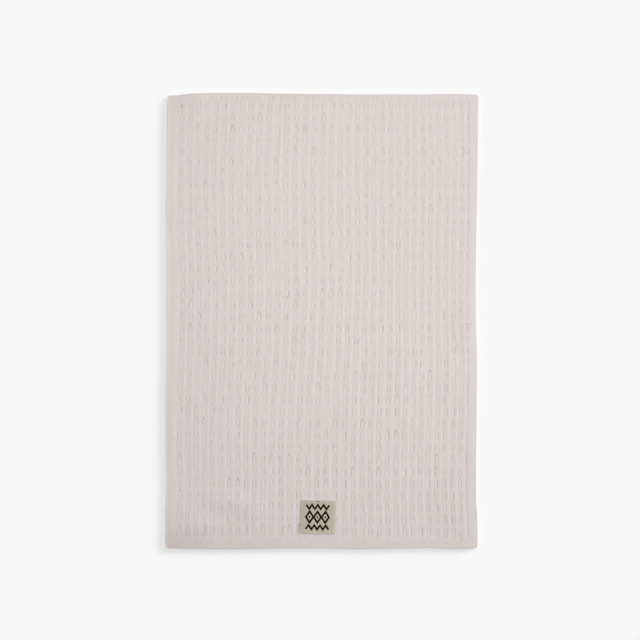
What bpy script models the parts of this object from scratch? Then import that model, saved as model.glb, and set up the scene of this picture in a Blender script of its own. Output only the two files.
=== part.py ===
"""A waffle-weave dish towel with turned hems and a square sewn-on label, lying flat.

Units are metres and +Z is up. The towel rests on the plane z = 0, with the middle of its
bounding box over the origin and its label end towards -Y. The towel is one sheet of cloth,
thicker along its four hems. The label is a second, smaller sheet that lies on it.
"""

import math

import bmesh
import bpy

# The towel: overall size, and the cloth's thickness in the field and in the turned hems.
TOWEL_WIDTH = 0.4485
TOWEL_LENGTH = 0.6545
FIELD_THICKNESS = 0.0021
HEM_THICKNESS = 0.0027

# How wide each hem is, and the run over which the cloth steps down to the field beside it.
SIDE_HEM = 0.0120
TOP_HEM = 0.0112
BOTTOM_HEM = 0.0172
HEM_STEP = 0.0012

# The largest cell of the towel's grid, and the rounding of the hems' folded edge.
FIELD_CELL = 0.0120
HEM_EDGE_RADIUS = 0.0006

# Each corner is rounded inside a square of this size; 1 is a full round and 0 is square.
CORNER_SIZE = 0.0052
CORNER_ROUNDNESS = {
    "top_left": 0.45,
    "top_right": 0.50,
    "bottom_left": 0.90,
    "bottom_right": 1.00,
}

# The edges aren't quite straight. Each row is a place along the edge, counted from its
# middle towards +X or +Y, and how far the edge stands in from the bounding rectangle.
TOP_EDGE = (
    # along, inset
    (-0.2243, 0.0040),
    (-0.2120, 0.0036),
    (-0.2020, 0.0019),
    (-0.1880, 0.0007),
    (-0.1650, 0.0000),
    (-0.1020, 0.0000),
    (-0.0590, 0.0007),
    (0.0000, 0.0016),
    (0.0560, 0.0020),
    (0.1560, 0.0020),
    (0.1950, 0.0013),
    (0.2243, 0.0020),
)
BOTTOM_EDGE = (
    # along, inset
    (-0.2243, 0.0011),
    (-0.2000, 0.0006),
    (-0.1450, 0.0000),
    (-0.1020, 0.0006),
    (-0.0590, 0.0013),
    (0.0000, 0.0007),
    (0.1560, 0.0006),
    (0.1850, 0.0009),
    (0.2060, 0.0013),
    (0.2243, 0.0022),
)
LEFT_EDGE = (
    # along, inset
    (-0.3273, 0.0004),
    (-0.3140, 0.0000),
    (-0.2800, 0.0000),
    (-0.1710, 0.0006),
    (0.0000, 0.0012),
    (0.1740, 0.0012),
    (0.2740, 0.0019),
    (0.3273, 0.0034),
)
RIGHT_EDGE = (
    # along, inset
    (-0.3273, 0.0010),
    (-0.2850, 0.0007),
    (-0.2280, 0.0027),
    (-0.1710, 0.0024),
    (-0.1130, 0.0021),
    (-0.0560, 0.0017),
    (0.0010, 0.0029),
    (0.0590, 0.0033),
    (0.1160, 0.0022),
    (0.1740, 0.0008),
    (0.2740, 0.0006),
    (0.3273, 0.0000),
)

# Soft ripples where the cloth stands a little off the surface that it lies on.
RIPPLES = (
    # x, y, crest angle in degrees, half length, half width, height
    (-0.1230, -0.2590, -15.0, 0.070, 0.024, 0.0012),
    (-0.1830, -0.2960, 10.0, 0.046, 0.022, 0.0013),
    (-0.1800, 0.2990, 62.0, 0.042, 0.026, 0.0011),
    (0.2080, -0.0040, 97.0, 0.062, 0.030, 0.0012),
)

# The label: its size, place and turn on the towel, and its thickness inside and along the
# turned edges.
LABEL_SIZE = (0.0510, 0.0488)
LABEL_CENTRE = (-0.0048, -0.2814)
LABEL_TURN = math.radians(-1.2)
LABEL_THICKNESS = 0.0010
LABEL_EDGE_THICKNESS = 0.0013
LABEL_TURNED_EDGE = 0.0040
LABEL_STEP = 0.0006
LABEL_CELL = 0.0070
LABEL_EDGE_RADIUS = 0.0003
LABEL_CORNER_SIZE = 0.0016

# Pieces that lie on each other keep this gap.
GAP = 0.0003
RIM_ANGLE = math.radians(50)

CLOTH_COLOR = (0.690, 0.632, 0.612, 1.0)
LABEL_COLOR = (0.480, 0.430, 0.340, 1.0)


def clear_scene():
    for old in list(bpy.data.objects):
        bpy.data.objects.remove(old, do_unlink=True)


def fabric(name, color, roughness):
    material = bpy.data.materials.new(name)
    material.use_nodes = True
    shader = material.node_tree.nodes["Principled BSDF"]
    shader.inputs["Base Color"].default_value = color
    shader.inputs["Roughness"].default_value = roughness
    shader.inputs["Metallic"].default_value = 0.0
    return material


def ease(t):
    """A smooth climb from 0 to 1 as t goes from 0 to 1, flat at both ends."""
    t = min(max(t, 0.0), 1.0)
    return t * t * (3.0 - 2.0 * t)


def follow(table, along):
    """The second column of a table at a place along its first, eased from row to row."""
    for (start, low), (end, high) in zip(table, table[1:]):
        if along <= end:
            return low + (high - low) * ease((along - start) / (end - start))
    return table[-1][1]


def round_corner(x, y, half_width, half_length, size, roundness):
    """Pull a point near a sheet's corner in, so that the corner's outline is an arc."""
    past_x = (abs(x) - half_width) / size + 1.0
    past_y = (abs(y) - half_length) / size + 1.0
    if past_x <= 0.0 or past_y <= 0.0:
        return x, y
    pull_x = past_x * (1.0 - math.sqrt(1.0 - past_y**2 / 2.0))
    pull_y = past_y * (1.0 - math.sqrt(1.0 - past_x**2 / 2.0))
    x -= math.copysign(pull_x * size * roundness, x)
    y -= math.copysign(pull_y * size * roundness, y)
    return x, y


def inset_edges(x, y):
    """Move a point of the plain rectangle so that the four edges follow their tables."""
    across = x / TOWEL_WIDTH + 0.5
    up = y / TOWEL_LENGTH + 0.5
    moved_x = x + follow(LEFT_EDGE, y) * (1.0 - across) - follow(RIGHT_EDGE, y) * across
    moved_y = y + follow(BOTTOM_EDGE, x) * (1.0 - up) - follow(TOP_EDGE, x) * up
    return moved_x, moved_y


def ripple_lift(x, y):
    """How far the ripples lift the cloth's underside off the surface."""
    lift = 0.0
    for centre_x, centre_y, angle, half_length, half_width, height in RIPPLES:
        turn = math.radians(angle)
        from_x = x - centre_x
        from_y = y - centre_y
        along = (from_x * math.cos(turn) + from_y * math.sin(turn)) / half_length
        across = (from_y * math.cos(turn) - from_x * math.sin(turn)) / half_width
        lift += height * ease(1.0 - math.hypot(along, across))
    return lift


def towel_point(x, y):
    corner = ("top" if y > 0.0 else "bottom") + ("_right" if x > 0.0 else "_left")
    x, y = round_corner(
        x, y, TOWEL_WIDTH / 2, TOWEL_LENGTH / 2, CORNER_SIZE, CORNER_ROUNDNESS[corner]
    )
    x, y = inset_edges(x, y)
    return x, y, ripple_lift(x, y)


def towel_thickness(x, y):
    """The hem's thickness near an edge, stepping down to the field's beside it."""
    end_hem = TOP_HEM if y > 0.0 else BOTTOM_HEM
    past_side = (TOWEL_WIDTH / 2 - abs(x) - SIDE_HEM) / HEM_STEP + 0.5
    past_end = (TOWEL_LENGTH / 2 - abs(y) - end_hem) / HEM_STEP + 0.5
    field = ease(min(past_side, past_end))
    return HEM_THICKNESS + (FIELD_THICKNESS - HEM_THICKNESS) * field


def label_point(x, y):
    x, y = round_corner(x, y, LABEL_SIZE[0] / 2, LABEL_SIZE[1] / 2, LABEL_CORNER_SIZE, 1.0)
    return x, y, 0.0


def label_thickness(x, y):
    """Two layers along the turned edges, and one inside them."""
    past = min(LABEL_SIZE[0] / 2 - abs(x), LABEL_SIZE[1] / 2 - abs(y)) - LABEL_TURNED_EDGE
    inside = ease(past / LABEL_STEP + 0.5)
    return LABEL_EDGE_THICKNESS + (LABEL_THICKNESS - LABEL_EDGE_THICKNESS) * inside


def grid_lines(size, low_margin, high_margin, step, corner, cell):
    """Grid lines across a sheet: close at its corners and margins, and even between."""

    def margin_lines(margin):
        inner = [margin - step / 2, margin + step / 2]
        if margin - corner > 2 * corner:
            inner.insert(0, (margin + corner) / 2)
        return [0.0, corner / 2, corner] + inner

    low = [line - size / 2 for line in margin_lines(low_margin)]
    high = [size / 2 - line for line in reversed(margin_lines(high_margin))]
    span = high[0] - low[-1]
    count = math.ceil(span / cell)
    between = [low[-1] + span * i / count for i in range(1, count)]
    return low + between + high


def sheet(name, x_lines, y_lines, point, thickness, full_thickness, edge_radius, material):
    """A grid on the sheet's underside, made solid upwards, with a rounded rim."""
    columns = len(x_lines) - 1
    rows = len(y_lines) - 1
    bm = bmesh.new()
    bmesh.ops.create_grid(bm, x_segments=columns, y_segments=rows, size=0.5)
    weights = bm.verts.layers.deform.verify()
    for vertex in bm.verts:
        x = x_lines[round((vertex.co.x + 0.5) * columns)]
        y = y_lines[round((vertex.co.y + 0.5) * rows)]
        vertex.co = point(x, y)
        vertex[weights][0] = thickness(x, y) / full_thickness
    mesh = bpy.data.meshes.new(name)
    bm.to_mesh(mesh)
    bm.free()
    mesh.shade_smooth()
    mesh.materials.append(material)
    piece = bpy.data.objects.new(name, mesh)
    piece.vertex_groups.new(name="thickness")

    solid = piece.modifiers.new("cloth thickness", "SOLIDIFY")
    solid.thickness = full_thickness
    solid.offset = 1.0
    solid.vertex_group = "thickness"

    rim = piece.modifiers.new("folded edge", "BEVEL")
    rim.width = edge_radius
    rim.segments = 2
    rim.limit_method = "ANGLE"
    rim.angle_limit = RIM_ANGLE
    rim.use_clamp_overlap = False
    return piece


def make_towel():
    return sheet(
        "towel",
        grid_lines(TOWEL_WIDTH, SIDE_HEM, SIDE_HEM, HEM_STEP, CORNER_SIZE, FIELD_CELL),
        grid_lines(TOWEL_LENGTH, BOTTOM_HEM, TOP_HEM, HEM_STEP, CORNER_SIZE, FIELD_CELL),
        towel_point,
        towel_thickness,
        HEM_THICKNESS,
        HEM_EDGE_RADIUS,
        fabric("waffle_cotton", CLOTH_COLOR, 0.95),
    )


def make_label():
    lines = [
        grid_lines(
            side, LABEL_TURNED_EDGE, LABEL_TURNED_EDGE, LABEL_STEP, LABEL_CORNER_SIZE, LABEL_CELL
        )
        for side in LABEL_SIZE
    ]
    label = sheet(
        "label",
        lines[0],
        lines[1],
        label_point,
        label_thickness,
        LABEL_EDGE_THICKNESS,
        LABEL_EDGE_RADIUS,
        fabric("khaki_canvas", LABEL_COLOR, 0.90),
    )
    label.location = (LABEL_CENTRE[0], LABEL_CENTRE[1], FIELD_THICKNESS + GAP)
    label.rotation_euler.z = LABEL_TURN
    return label


def main():
    clear_scene()
    collection = bpy.data.collections.new("dish_towel")
    bpy.context.scene.collection.children.link(collection)
    lay = bpy.data.objects.new("towel_lay", None)
    collection.objects.link(lay)
    for piece in (make_towel(), make_label()):
        piece.parent = lay
        collection.objects.link(piece)


main()
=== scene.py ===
"""The looks of a waffle-weave dish towel that lies flat, seen from straight above.

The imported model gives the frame: node "towel" is replaced by a fine cloth mesh with the
weave's pockets and the hems, and node "label" by a canvas label with a sewn motif. Metres,
+Z up, and the label end of the towel points towards -Y.
"""

import math

import bpy
import numpy as np
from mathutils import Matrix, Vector


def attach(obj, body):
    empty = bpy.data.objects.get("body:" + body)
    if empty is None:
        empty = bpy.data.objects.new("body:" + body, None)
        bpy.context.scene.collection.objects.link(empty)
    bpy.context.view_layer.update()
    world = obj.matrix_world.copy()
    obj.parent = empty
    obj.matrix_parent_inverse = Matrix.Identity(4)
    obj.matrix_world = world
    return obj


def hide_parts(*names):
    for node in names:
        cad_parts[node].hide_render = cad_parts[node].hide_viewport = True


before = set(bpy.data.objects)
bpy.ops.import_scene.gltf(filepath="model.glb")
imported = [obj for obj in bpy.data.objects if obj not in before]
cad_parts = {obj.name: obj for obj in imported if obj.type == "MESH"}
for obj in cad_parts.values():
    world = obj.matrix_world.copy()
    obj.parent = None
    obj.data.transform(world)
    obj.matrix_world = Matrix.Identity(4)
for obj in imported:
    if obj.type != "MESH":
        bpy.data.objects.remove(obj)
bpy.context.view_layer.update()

MM = 0.001
rng = np.random.default_rng(46)

# ---------------------------------------------------------------- sizes

TOWEL_WIDTH = 0.4485
TOWEL_LENGTH = 0.6545
FIELD_THICKNESS = 2.30 * MM
HEM_THICKNESS = 2.42 * MM
LEFT_HEM = 12.0 * MM
RIGHT_HEM = 10.8 * MM
TOP_HEM = 11.2 * MM
BOTTOM_HEM = 17.2 * MM
HEM_STEP = 3.0 * MM
HEM_STEP_LINES = (-0.5, -0.2, 0.2, 0.5)
LEFT_FALL = 0.15 * MM
RIGHT_FALL = 0.45 * MM
TOP_FALL = 0.10 * MM
BOTTOM_FALL = 0.30 * MM
CORNER_SIZE = 5.2 * MM
CORNER_ROUNDNESS = {"tl": 0.15, "tr": 0.30, "bl": 0.80, "br": 0.60}

# How far each edge stands in from the bounding rectangle, along the edge from its middle.
TOP_EDGE = (
    # along, inset
    (-0.2243, 0.0040),
    (-0.2120, 0.0036),
    (-0.2020, 0.0019),
    (-0.1880, 0.0007),
    (-0.1650, 0.0000),
    (-0.1020, 0.0001),
    (-0.0590, 0.0011),
    (0.0000, 0.0017),
    (0.0560, 0.0023),
    (0.1000, 0.0019),
    (0.1400, 0.0024),
    (0.1700, 0.0016),
    (0.1950, 0.0014),
    (0.2243, 0.0023),
)
BOTTOM_EDGE = (
    # along, inset
    (-0.2243, 0.0013),
    (-0.2000, 0.0005),
    (-0.1450, -0.0002),
    (-0.1020, 0.0004),
    (-0.0590, 0.0014),
    (0.0000, 0.0012),
    (0.0540, 0.0002),
    (0.1110, 0.0010),
    (0.1480, 0.0018),
    (0.1850, 0.0007),
    (0.2060, 0.0010),
    (0.2243, 0.0018),
)
LEFT_EDGE = (
    # along, inset
    (-0.3273, 0.0001),
    (-0.3140, -0.0006),
    (-0.2850, -0.0003),
    (-0.2567, 0.0005),
    (-0.2281, 0.0012),
    (-0.1850, 0.0003),
    (-0.1133, 0.0001),
    (-0.0416, 0.0015),
    (0.0300, 0.0017),
    (0.1018, 0.0016),
    (0.1740, 0.0012),
    (0.2740, 0.0021),
    (0.3273, 0.0034),
)
RIGHT_EDGE = (
    # along, inset
    (-0.3273, 0.0012),
    (-0.3000, 0.0013),
    (-0.2850, 0.0016),
    (-0.2567, 0.0031),
    (-0.2280, 0.0032),
    (-0.1710, 0.0027),
    (-0.1130, 0.0021),
    (-0.0560, 0.0017),
    (0.0010, 0.0034),
    (0.0590, 0.0039),
    (0.1160, 0.0028),
    (0.1740, 0.0015),
    (0.2740, 0.0008),
    (0.3273, 0.0003),
)

# Soft ripples where the cloth stands a little off the surface that it lies on.
RIPPLES = (
    # x, y, crest angle in degrees, half length, half width, height
    (-0.1230, -0.2590, -15.0, 0.070, 0.024, 0.0012),
    (-0.1830, -0.2960, 10.0, 0.046, 0.022, 0.0013),
    (-0.1800, 0.2990, 62.0, 0.042, 0.026, 0.0011),
    (0.2080, -0.0040, 97.0, 0.062, 0.030, 0.0012),
)

# Broad swells in the cloth's own thickness.
SWELLS = (
    # x, y, crest angle in degrees, half length, half width, height
    (-0.0980, 0.0060, 28.0, 0.110, 0.062, 0.0004),
    (0.0760, 0.0120, -20.0, 0.120, 0.066, 0.0004),
    (0.1120, -0.2000, 70.0, 0.090, 0.045, 0.0004),
    (-0.0560, 0.2120, -8.0, 0.130, 0.050, 0.0003),
    (0.1400, 0.2000, 80.0, 0.120, 0.050, 0.0003),
    (-0.1300, -0.1200, 70.0, 0.110, 0.045, 0.0004),
)

# ---------------------------------------------------------------- the weave

# Where the pocket columns and rows lie: the pitch isn't even across the towel.
COLUMN_PLACES = (
    # column, x
    (0, -0.2013),
    (4, -0.1528),
    (8, -0.1023),
    (12, -0.0503),
    (16, 0.0016),
    (20, 0.0518),
    (24, 0.0994),
    (28, 0.1455),
    (32, 0.1911),
    (34, 0.2130),
)
ROW_PLACES = (
    # row, y
    (0, 0.3099),
    (4, 0.2447),
    (8, 0.1786),
    (12, 0.1109),
    (16, 0.0422),
    (20, -0.0262),
    (24, -0.0941),
    (28, -0.1623),
    (32, -0.2312),
    (36, -0.2995),
)
LAST_COLUMN = 34
LAST_ROW = 36
POCKETS = (LAST_ROW + 1, LAST_COLUMN + 1)
PITCH_ACROSS = 12.3 * MM
PITCH_UP = 17.0 * MM

# How the weave sways in its plane: millimetres across and along the cloth, by place. Its
# columns lean to -X towards the label end, most of all near the middle. The two tables weren't
# chosen by hand: a program worked them out by matching the pockets to the photograph's.
SWAY_X = (-0.2, -0.133, -0.067, 0.0, 0.067, 0.133, 0.2)
SWAY_Y = (0.3, 0.22, 0.14, 0.06, -0.02, -0.1, -0.18, -0.25, -0.31)
SWAY_ACROSS = (
    (-2.2, -2.7, -1.8, -1.0, -2.2, -2.1, -1.6),
    (-3.5, -4.3, -3.8, -2.6, -1.6, -0.9, -0.3),
    (-2.5, -3.9, -2.6, -2.0, -0.5, -0.7, 0.1),
    (0.1, -1.6, -0.4, 0.5, 0.5, -0.4, 0.0),
    (-1.4, -2.8, -2.2, -3.3, -2.4, -0.6, -0.2),
    (-3.5, -4.7, -5.8, -7.0, -4.5, -1.5, -0.7),
    (-4.1, -5.9, -8.8, -9.0, -5.9, -3.3, -1.5),
    (-3.8, -6.1, -9.4, -8.9, -5.9, -3.8, -1.9),
    (-4.1, -5.6, -8.8, -8.3, -5.5, -3.2, -1.0),
)
SWAY_ALONG = (
    (-1.3, -2.4, -2.3, -1.0, -1.4, -1.3, -0.5),
    (-0.7, -1.0, -1.4, -1.1, -1.2, -0.5, -1.1),
    (-1.8, -2.3, -1.8, -1.3, -1.2, -0.8, -0.4),
    (-1.9, -2.6, -2.4, -2.2, -1.6, -0.6, 0.1),
    (-0.8, -2.3, -3.0, -2.5, -2.3, -1.1, 0.8),
    (0.6, -1.9, -2.9, -3.2, -2.4, -2.4, -2.2),
    (0.4, -1.6, -1.5, -2.7, -3.6, -3.4, -3.2),
    (-1.3, -1.9, -1.4, -2.9, -4.4, -4.1, -3.7),
    (-0.8, -0.4, -0.4, -1.4, -4.4, -4.1, -4.5),
)
SWAY_FADE = (14.0 * MM, 16.0 * MM)

# One pocket, in shares of the pitch: an oval groove round a small raised floor.
GROOVE_ACROSS = 0.168
GROOVE_INNER = 0.130
GROOVE_OUTER = 0.206
POCKET_HALF = 0.30
GROOVE_UP = 0.36
SLIT_UP = 0.26
FLOOR_UP = 0.15
ON_LINE = 0.01
CELL_LINES_ACROSS = (
    -0.50, -GROOVE_OUTER, -GROOVE_ACROSS, -GROOVE_INNER, GROOVE_INNER, GROOVE_ACROSS, GROOVE_OUTER
)
CELL_LINES_UP = (-0.50, -GROOVE_UP, -SLIT_UP, -FLOOR_UP, FLOOR_UP, SLIT_UP, GROOVE_UP)
WIDER_LEFT = 0.12
WIDER_TOP = 0.06
OVAL_POWER = 6.0
OVAL_NARROWEST = 0.16
JITTER_ACROSS = 0.018
JITTER_UP = 0.020
JITTER_MOST = 2.0

# How deep the slits are and how far they go: a share at the towel's top left corner, and what
# it gains towards the label end and to the right. Each pocket then differs at random.
DEPTH_TREND = (0.86, 0.34, 0.28)
DEPTH_SPREAD = (0.24, 0.3, 1.6)
SIDE_SPREAD = 0.30
SIDE_DRAW = (1.0, -1.0, 3.0)
SIDE_LIMITS = (0.2, 1.8)
REACH_TREND = (-0.55, 0.95, 0.60)
UP_SPREAD = 0.35
DOWN_SPREAD = 0.08
MOST_UP = 1.4
MOST_DOWN = 1.1
SLIT_REACH = (0.185, 0.325)
SLIT_END = 0.05
GROOVE_DEPTH = 0.42 * MM
TOP_SHARES = (-1.10, 0.70)
BOTTOM_SHARES = (-1.30, 0.40)
COLUMN_CROWN = 0.12 * MM
CROWN_REACH = 0.4
BAND_DROP = 0.06 * MM
BAND_FROM = 0.33
BAND_RUN = 0.10

# The underside's pockets, and the hems' edges that are folded under it.
UNDER_INSET = 5.0 * MM
UNDER_EDGE = 1.2 * MM
UNDER_STEP = 0.15 * MM
UNDER_DEPTH = 0.75 * MM
# Painted shade in the underside's pocket middles.
UNDER_POCKET_PAINTED_SHADE = -0.14
UNDER_CALM = 0.5

# How much darker or lighter than the cloth each place of a pocket is painted: the grooves' darkening is
# painted shade, and the glints are painted highlights.
GROOVE_PAINTED_SHADE = -0.225
PAINTED_GLINT_TONES = (-0.05, 0.12)
GLINT_CHANCES = (0.3, 0.7)
GLINT_DOWN = 0.35
CORD_TONE = 0.024
BETWEEN_TONE = -0.012
GAP_FROM = 0.30
GAP_RUN = 0.12
GAP_STREAKS = 0.5

# Painted shade and light: broad places where the cotton is painted a little darker or lighter, such as
# the darker lower left corner and the lighter right hem.
PAINTED_SHADE_AND_LIGHT = (
    # x, y, angle in degrees, half length, half width, tone
    (-0.2197, -0.3214, 12.0, 0.080, 0.050, -0.085),
    (-0.1017, -0.3094, 0.0, 0.150, 0.045, -0.040),
    (-0.1332, -0.2734, -15.0, 0.060, 0.020, -0.035),
    (-0.2077, -0.2734, 60.0, 0.040, 0.028, -0.022),
    (0.1883, -0.0124, 90.0, 0.036, 0.024, -0.012),
    (-0.2137, 0.3186, 0.0, 0.050, 0.030, -0.030),
    (0.0003, 0.3276, 0.0, 0.280, 0.018, -0.035),
    (0.2203, 0.0206, 90.0, 0.340, 0.014, 0.040),
)

# ---------------------------------------------------------------- the hems

# Painted light and shade: how much lighter the outermost few millimetres are painted at the left, and
# how much darker along the label end.
LEFT_EDGE_REACH = 6.0 * MM
BOTTOM_EDGE_REACH = 4.5 * MM
LEFT_EDGE_PAINTED_LIGHT = 0.10
BOTTOM_EDGE_PAINTED_SHADE = -0.06
RIM = 0.22 * MM
RIM_LINES = (0.0, 0.03 * MM, 0.10 * MM, RIM)
PAST_RIM = 0.5 * MM
BESIDE_RIBS = 0.4 * MM
BESIDE_SEAM = 1.7 * MM
BESIDE_HEM = 0.5 * MM
SEAM_IN = 2.6 * MM
SEAM_DEPTH = 0.04 * MM
SEAM_HALF_WIDTH = 0.6 * MM
HEM_RIB = 0.05 * MM
RIBS_IN = 3.9 * MM
RIBS_TO_TOP = 9.2 * MM
RIBS_TO_BOTTOM = 13.4 * MM
BOTTOM_RIBS = 0.50
RIBS_BLUR = 0.8 * MM
STITCH_PITCH = 3.0 * MM
STITCH_LENGTH = 2.3 * MM
STITCH_INSET = 2.0 * MM
THREAD_RADIUS = 0.17 * MM
THREAD_SIDES = 6
THREAD_RINGS = (
    # share of the length, rise and size in radii
    (0.0, -0.9, 0.6),
    (0.2, 0.1, 1.0),
    (0.8, 0.1, 1.0),
    (1.0, -0.9, 0.6),
)

# ---------------------------------------------------------------- the label

LABEL_SIZE = (0.0521, 0.0485)
LABEL_CENTRE = (-0.0058, -0.2812)
LABEL_TURN = math.radians(-1.6)
LABEL_TAPER = 0.9 * MM
LABEL_BASE = FIELD_THICKNESS + 0.04 * MM
LABEL_THICKNESS = 0.80 * MM
LABEL_EDGE_THICKNESS = 1.05 * MM
LABEL_TURNED_EDGE = 4.2 * MM
LABEL_TURNED_STEP = 0.9 * MM
LABEL_SEAM = 2.7 * MM
LABEL_STITCH = (0.10, 0.85)
LABEL_PUCKER = 0.10 * MM
PUCKER_HALF_WIDTH = 0.7 * MM
LABEL_WAVE = 0.05 * MM
LABEL_WAVE_SIZES = (3.1 * MM, 3.7 * MM)
LABEL_WAVE_STARTS = (0.6, 1.1)
LABEL_RIM = 0.6 * MM
LABEL_RIM_TOP = 0.56
LABEL_RIM_UNDER = 0.42

# Grid lines near the label's edges, in millimetres, and how many lie between them.
LABEL_LINES = (0.0, 0.08, 0.25, 0.6, 1.2, 2.0, 2.7, 3.4, 3.75, 4.65)
LABEL_INNER_LINES = 12

# The label looks lighter to the right, is painted lighter along its left and bottom edges against their
# rims' shade, and is paler along three of its turned edges, the right one partly as a painted
# highlight.
LABEL_FADE = 0.09
LABEL_LEFT_PAINTED_LIGHT = 0.17
LABEL_LOW_PAINTED_LIGHT = 0.12
LABEL_TONE_REACH = 1.8 * MM
LABEL_PALE_RIGHT = (4.8 * MM, 1.00)
LABEL_PALE_BOTTOM = (3.6 * MM, 0.90)
LABEL_PALE_TOP = (4.6 * MM, 0.60)
LABEL_PALE_RISE = 1.6

# One long dark stitch near the label's top edge, from its middle.
DARK_STITCH = ((-3.9 * MM, 22.4 * MM), (3.0 * MM, 22.4 * MM))
DARK_STITCH_RADIUS = 0.32 * MM

# The motif: a row of outlined diamonds between two zigzags, in the label's millimetres.
MOTIF_WIDTH = 2.9
MOTIF_RISE = 0.14
MOTIF_STEP = 1.5
MOTIF_SHARPEST = 0.5
MOTIF_CENTRE = (-0.6, -0.1)
MOTIF_SECTION = (
    # share of the width, share of the rise
    (-0.50, -0.1),
    (-0.42, 0.6),
    (0.00, 1.0),
    (0.42, 0.6),
    (0.50, -0.1),
)
DIAMOND_PLACES = (-11.3, 0.0, 11.3)
DIAMONDS = (
    # half width, half height, width of the line: an outline round a small heart
    (5.3, 7.9, MOTIF_WIDTH),
    (0.75, 0.93, 1.35),
)
ZIGZAG_PLACES = (14.6, -14.6)
ZIGZAG_STEPS = 8
ZIGZAG_HALF_WIDTH = 16.6
ZIGZAG_HALF_HEIGHT = 2.9


# ---------------------------------------------------------------- shapes


def ease(t):
    """A smooth climb from 0 to 1 as t goes from 0 to 1, flat at both ends."""
    t = np.clip(t, 0.0, 1.0)
    return t * t * (3.0 - 2.0 * t)


def between(table, at, curve=np.asarray):
    """A table's second column at places along its first. Straight lines go on past its ends."""
    places, values = np.array(table, float).T
    i = np.clip(np.searchsorted(places, at) - 1, 0, len(places) - 2)
    share = curve((at - places[i]) / (places[i + 1] - places[i]))
    return values[i] + (values[i + 1] - values[i]) * share


def follow(table, along):
    """The second column of a table at places along its first, eased from row to row."""
    return between(table, along, ease)


def turned(table):
    """A table with its two columns swapped, rising along the new first one."""
    return tuple(sorted((value, place) for place, value in table))


def bumps(table, x, y):
    """The height at x, y of a table of soft, long bumps."""
    height = np.zeros(np.shape(x))
    for centre_x, centre_y, angle, half_length, half_width, top in table:
        turn = math.radians(angle)
        from_x = x - centre_x
        from_y = y - centre_y
        along = (from_x * math.cos(turn) + from_y * math.sin(turn)) / half_length
        across = (from_y * math.cos(turn) - from_x * math.sin(turn)) / half_width
        height = height + top * ease(1.0 - np.hypot(along, across))
    return height


def round_corners(x, y, half_width, half_length, size, roundness):
    """Pull points near a sheet's corners in, so that each corner's outline is an arc."""
    past_x = np.clip((np.abs(x) - half_width) / size + 1.0, 0.0, 1.0)
    past_y = np.clip((np.abs(y) - half_length) / size + 1.0, 0.0, 1.0)
    share = np.where(
        y > 0,
        np.where(x > 0, roundness["tr"], roundness["tl"]),
        np.where(x > 0, roundness["br"], roundness["bl"]),
    )
    pull_x = past_x * (1.0 - np.sqrt(1.0 - past_y**2 / 2.0))
    pull_y = past_y * (1.0 - np.sqrt(1.0 - past_x**2 / 2.0))
    return x - np.sign(x) * pull_x * size * share, y - np.sign(y) * pull_y * size * share


def towel_place(x, y):
    """A point of the plain rectangle moved to where it lies in the uneven outline."""
    x, y = round_corners(
        x, y, TOWEL_WIDTH / 2, TOWEL_LENGTH / 2, CORNER_SIZE, CORNER_ROUNDNESS
    )
    across = x / TOWEL_WIDTH + 0.5
    up = y / TOWEL_LENGTH + 0.5
    moved_x = x + follow(LEFT_EDGE, y) * (1.0 - across) - follow(RIGHT_EDGE, y) * across
    moved_y = y + follow(BOTTOM_EDGE, x) * (1.0 - up) - follow(TOP_EDGE, x) * up
    return moved_x, moved_y


def rim_fall(distance):
    """How far the rounded hem edge falls from the face, near the outline."""
    bend = 1.0 - np.clip(distance / RIM, 0.0, 1.0)
    return RIM * (1.0 - np.sqrt(1.0 - bend**2))


def seam(distance, hem):
    """1 on the stitched line of a hem, falling to 0 on both sides of it."""
    return ease(1.0 - np.abs(distance - hem + SEAM_IN) / SEAM_HALF_WIDTH)


def towel_height(x, y):
    """The top's height over the underside, without the weave: hems, seams and rims."""
    from_side = np.where(x < 0, x + TOWEL_WIDTH / 2, TOWEL_WIDTH / 2 - x)
    from_end = np.where(y < 0, y + TOWEL_LENGTH / 2, TOWEL_LENGTH / 2 - y)
    side_hem = np.where(x < 0, LEFT_HEM, RIGHT_HEM)
    end_hem = np.where(y < 0, BOTTOM_HEM, TOP_HEM)
    in_side = 1.0 - ease((from_side - side_hem) / HEM_STEP + 0.5)
    in_end = 1.0 - ease((from_end - end_hem) / HEM_STEP + 0.5)
    hem = np.maximum(in_side, in_end)
    flat = FIELD_THICKNESS + (HEM_THICKNESS - FIELD_THICKNESS) * hem
    side_fall = np.where(x < 0, LEFT_FALL, RIGHT_FALL)
    end_fall = np.where(y < 0, BOTTOM_FALL, TOP_FALL)
    flat = flat - side_fall * np.clip(1.0 - from_side / side_hem, 0, 1)
    flat = flat - end_fall * np.clip(1.0 - from_end / end_hem, 0, 1)
    sewn = np.maximum(seam(from_side, side_hem), seam(from_end, end_hem))
    return flat - rim_fall(np.minimum(from_side, from_end)) - SEAM_DEPTH * sewn, hem


def hem_lines(hem):
    """Grid lines across a hem, as distances from the outline."""
    at_seam = [hem - SEAM_IN + side * SEAM_HALF_WIDTH for side in (-1, 0, 1)]
    at_step = [hem + side * HEM_STEP for side in HEM_STEP_LINES]
    ribs = [RIBS_IN - BESIDE_RIBS, RIBS_IN + BESIDE_RIBS, hem - SEAM_IN - BESIDE_SEAM]
    return [*RIM_LINES, RIM + PAST_RIM, *ribs, *at_seam, *at_step]


def weave_lines(offsets, last, places, low, high):
    """Lines of the weave's grid between two hems, as places across the towel."""
    lines = [number + offset for number in range(last + 1) for offset in offsets]
    lines.append(last + 0.5)
    found = sorted(float(between(places, line)) for line in lines)
    return [line for line in found if low + BESIDE_HEM < line < high - BESIDE_HEM]


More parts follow.
